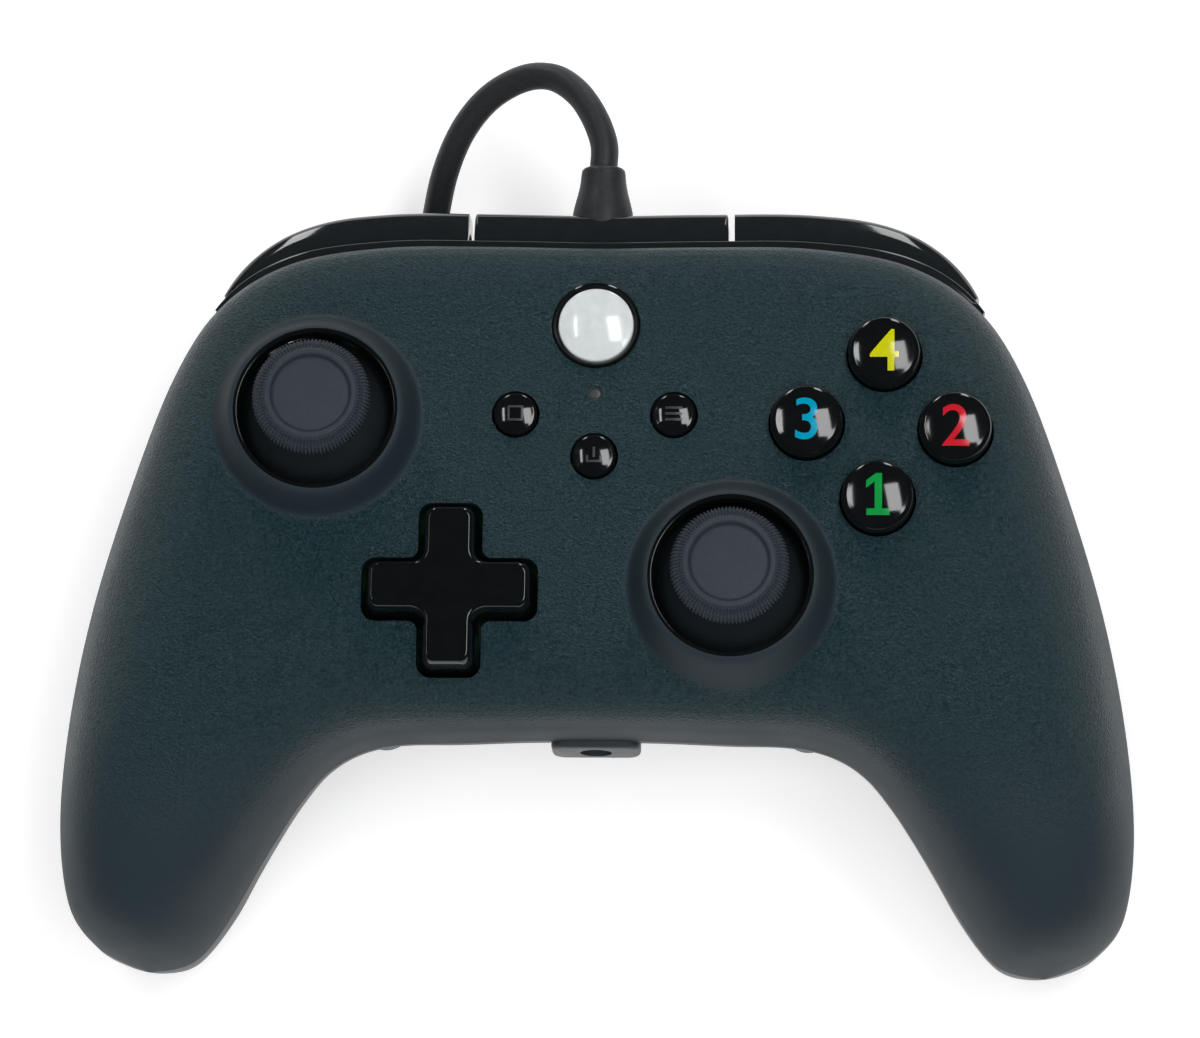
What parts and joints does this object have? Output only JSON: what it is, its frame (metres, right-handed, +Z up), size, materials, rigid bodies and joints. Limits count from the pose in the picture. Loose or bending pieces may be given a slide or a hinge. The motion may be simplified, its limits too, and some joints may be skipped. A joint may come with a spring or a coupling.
{
  "type": "gamepad controller",
  "caption": "Wired two-grip gamepad with twin tilting thumb sticks, rocking direction pad, sprung action buttons, bumpers, triggers, headset socket and a coiled USB lead.",
  "frame": {"origin": "on the table under the middle of the pad, which lies on its back with the face up", "axes": "+X to the player's right, +Y from the grips to the bumpers, +Z up out of the face"},
  "size_m": [0.152, 0.1325, 0.059],
  "materials": {
    "face_plastic": "fine pebbled grain",
    "back_plastic": "satin",
    "gloss_black": "gloss",
    "trigger_plastic": "satin",
    "cap_rubber": "matte",
    "pearl": "gloss",
    "lens": "gloss",
    "frame_plastic": "matte",
    "steel": "bright",
    "weight_metal": "dull",
    "post_plastic": "satin",
    "mat_rubber": "matte",
    "board": "satin",
    "jack_plastic": "satin",
    "cord_rubber": "matte",
    "strap": "matte"
  },
  "bodies": {
    "housing": {"front_shell": "face_plastic", "back_shell": "back_plastic", "top_trim": "gloss_black", "top_bridge": "gloss_black", "trigger_frame_left": "frame_plastic", "trigger_frame_right": "frame_plastic", "trigger_pins": "steel", "trigger_springs": "steel", "bumper_switches": "frame_plastic", "stick_ring_left": "gloss_black", "stick_ring_right": "gloss_black", "stick_housing_left": "steel", "stick_housing_right": "steel", "home_bezel": "gloss_black", "status_lens": "lens", "action_mat": "mat_rubber", "menu_mat": "mat_rubber", "home_switch": "frame_plastic", "dpad_upright": "frame_plastic", "main_board": "board", "board_chip": "frame_plastic", "motor_left": "steel", "motor_right": "steel", "audio_jack": "jack_plastic", "screws": "steel", "board_header": "post_plastic", "inner_lead": "cord_rubber", "strain_relief": "cord_rubber", "cord_run": "cord_rubber", "cord_coil": "cord_rubber", "cord_tail": "cord_rubber", "cord_ties": "strap", "plug_body": "cord_rubber", "plug_shell": "steel"},
    "gimbal_left": {"gimbal_left": "frame_plastic"},
    "post_left": {"post_left": "post_plastic"},
    "stick_left": {"thumb_dome_left": "gloss_black", "thumb_cap_left": "cap_rubber"},
    "rocker_left": {"rocker_left": "frame_plastic"},
    "bumper_left": {"bumper_left": "gloss_black"},
    "trigger_left": {"trigger_left": "trigger_plastic"},
    "weight_left": {"weight_left": "weight_metal"},
    "gimbal_right": {"gimbal_right": "frame_plastic"},
    "post_right": {"post_right": "post_plastic"},
    "stick_right": {"thumb_dome_right": "gloss_black", "thumb_cap_right": "cap_rubber"},
    "rocker_right": {"rocker_right": "frame_plastic"},
    "bumper_right": {"bumper_right": "gloss_black"},
    "trigger_right": {"trigger_right": "trigger_plastic"},
    "weight_right": {"weight_right": "weight_metal"},
    "dpad_spider": {"dpad_spider": "steel"},
    "dpad": {"dpad_cap": "gloss_black"},
    "button_north": {"button_north": "gloss_black"},
    "button_east": {"button_east": "gloss_black"},
    "button_south": {"button_south": "gloss_black"},
    "button_west": {"button_west": "gloss_black"},
    "button_select": {"button_select": "gloss_black"},
    "button_menu": {"button_menu": "gloss_black"},
    "button_share": {"button_share": "gloss_black"},
    "button_home": {"button_home": "pearl"}
  },
  "joints": [
    {"name": "stick_left_pitch", "type": "hinge", "parent": "housing", "child": "gimbal_left", "pos_m": [-0.0389, 0.0199, 0.0385], "axis": [1, 0, 0], "range_deg": [-15, 15], "stiffness_Nm_per_rad": 0.03},
    {"name": "stick_left_roll", "type": "hinge", "parent": "gimbal_left", "child": "post_left", "pos_m": [-0.0389, 0.0199, 0.0385], "axis": [0, 1, 0], "range_deg": [-15, 15], "stiffness_Nm_per_rad": 0.03},
    {"name": "stick_left_click", "type": "slide", "parent": "post_left", "child": "stick_left", "axis": [0, 0, -1], "range_m": [0, 0.0004], "stiffness_N_per_m": 600, "springref_m": -0.002},
    {"name": "rocker_left_roll", "type": "hinge", "parent": "housing", "child": "rocker_left", "pos_m": [-0.0389, 0.0199, 0.0385], "axis": [0, 1, 0], "range_deg": [-15, 15]},
    {"name": "stick_right_pitch", "type": "hinge", "parent": "housing", "child": "gimbal_right", "pos_m": [0.0194, -0.0038, 0.0385], "axis": [1, 0, 0], "range_deg": [-15, 15], "stiffness_Nm_per_rad": 0.03},
    {"name": "stick_right_roll", "type": "hinge", "parent": "gimbal_right", "child": "post_right", "pos_m": [0.0194, -0.0038, 0.0385], "axis": [0, 1, 0], "range_deg": [-15, 15], "stiffness_Nm_per_rad": 0.03},
    {"name": "stick_right_click", "type": "slide", "parent": "post_right", "child": "stick_right", "axis": [0, 0, -1], "range_m": [0, 0.0004], "stiffness_N_per_m": 600, "springref_m": -0.002},
    {"name": "rocker_right_roll", "type": "hinge", "parent": "housing", "child": "rocker_right", "pos_m": [0.0194, -0.0038, 0.0385], "axis": [0, 1, 0], "range_deg": [-15, 15]},
    {"name": "dpad_pitch", "type": "hinge", "parent": "housing", "child": "dpad_spider", "pos_m": [-0.0199, -0.0049, 0.038], "axis": [1, 0, 0], "range_deg": [-4.5, 4.5], "stiffness_Nm_per_rad": 0.12},
    {"name": "dpad_roll", "type": "hinge", "parent": "dpad_spider", "child": "dpad", "pos_m": [-0.0199, -0.0049, 0.038], "axis": [0, 1, 0], "range_deg": [-4.5, 4.5], "stiffness_Nm_per_rad": 0.12},
    {"name": "button_north_press", "type": "slide", "parent": "housing", "child": "button_north", "axis": [0, 0, -1], "range_m": [0, 0.0014], "stiffness_N_per_m": 350, "springref_m": -0.001},
    {"name": "button_east_press", "type": "slide", "parent": "housing", "child": "button_east", "axis": [0, 0, -1], "range_m": [0, 0.0014], "stiffness_N_per_m": 350, "springref_m": -0.001},
    {"name": "button_south_press", "type": "slide", "parent": "housing", "child": "button_south", "axis": [0, 0, -1], "range_m": [0, 0.0014], "stiffness_N_per_m": 350, "springref_m": -0.001},
    {"name": "button_west_press", "type": "slide", "parent": "housing", "child": "button_west", "axis": [0, 0, -1], "range_m": [0, 0.0014], "stiffness_N_per_m": 350, "springref_m": -0.001},
    {"name": "button_select_press", "type": "slide", "parent": "housing", "child": "button_select", "axis": [0, 0, -1], "range_m": [0, 0.0008], "stiffness_N_per_m": 350, "springref_m": -0.001},
    {"name": "button_menu_press", "type": "slide", "parent": "housing", "child": "button_menu", "axis": [0, 0, -1], "range_m": [0, 0.0008], "stiffness_N_per_m": 350, "springref_m": -0.001},
    {"name": "button_share_press", "type": "slide", "parent": "housing", "child": "button_share", "axis": [0, 0, -1], "range_m": [0, 0.0008], "stiffness_N_per_m": 350, "springref_m": -0.001},
    {"name": "button_home_press", "type": "slide", "parent": "housing", "child": "button_home", "axis": [0, 0, -1], "range_m": [0, 0.0007], "stiffness_N_per_m": 350, "springref_m": -0.001},
    {"name": "bumper_left_press", "type": "hinge", "parent": "housing", "child": "bumper_left", "pos_m": [-0.0224, 0.04903, 0.031], "axis": [0, 0, 1], "range_deg": [0, 2], "stiffness_Nm_per_rad": 2, "springref_deg": -1.72},
    {"name": "trigger_left_pull", "type": "hinge", "parent": "housing", "child": "trigger_left", "pos_m": [-0.0395, 0.0388, 0.0275], "axis": [-1, 0, 0], "range_deg": [0, 14], "stiffness_Nm_per_rad": 0.05, "springref_deg": -20.05},
    {"name": "weight_left_spin", "type": "hinge", "parent": "housing", "child": "weight_left", "pos_m": [-0.0585, -0.03, 0.02], "axis": [0, 1, 0], "continuous": true},
    {"name": "bumper_right_press", "type": "hinge", "parent": "housing", "child": "bumper_right", "pos_m": [0.0224, 0.04903, 0.031], "axis": [0, 0, -1], "range_deg": [0, 2], "stiffness_Nm_per_rad": 2, "springref_deg": -1.72},
    {"name": "trigger_right_pull", "type": "hinge", "parent": "housing", "child": "trigger_right", "pos_m": [0.0395, 0.0388, 0.0275], "axis": [-1, 0, 0], "range_deg": [0, 14], "stiffness_Nm_per_rad": 0.05, "springref_deg": -20.05},
    {"name": "weight_right_spin", "type": "hinge", "parent": "housing", "child": "weight_right", "pos_m": [0.0585, -0.03, 0.02], "axis": [0, 1, 0], "continuous": true}
  ],
  "couplings": [
    {"joint": "rocker_left_roll", "follows": "stick_left_roll", "ratio": 1},
    {"joint": "rocker_right_roll", "follows": "stick_right_roll", "ratio": 1}
  ]
}
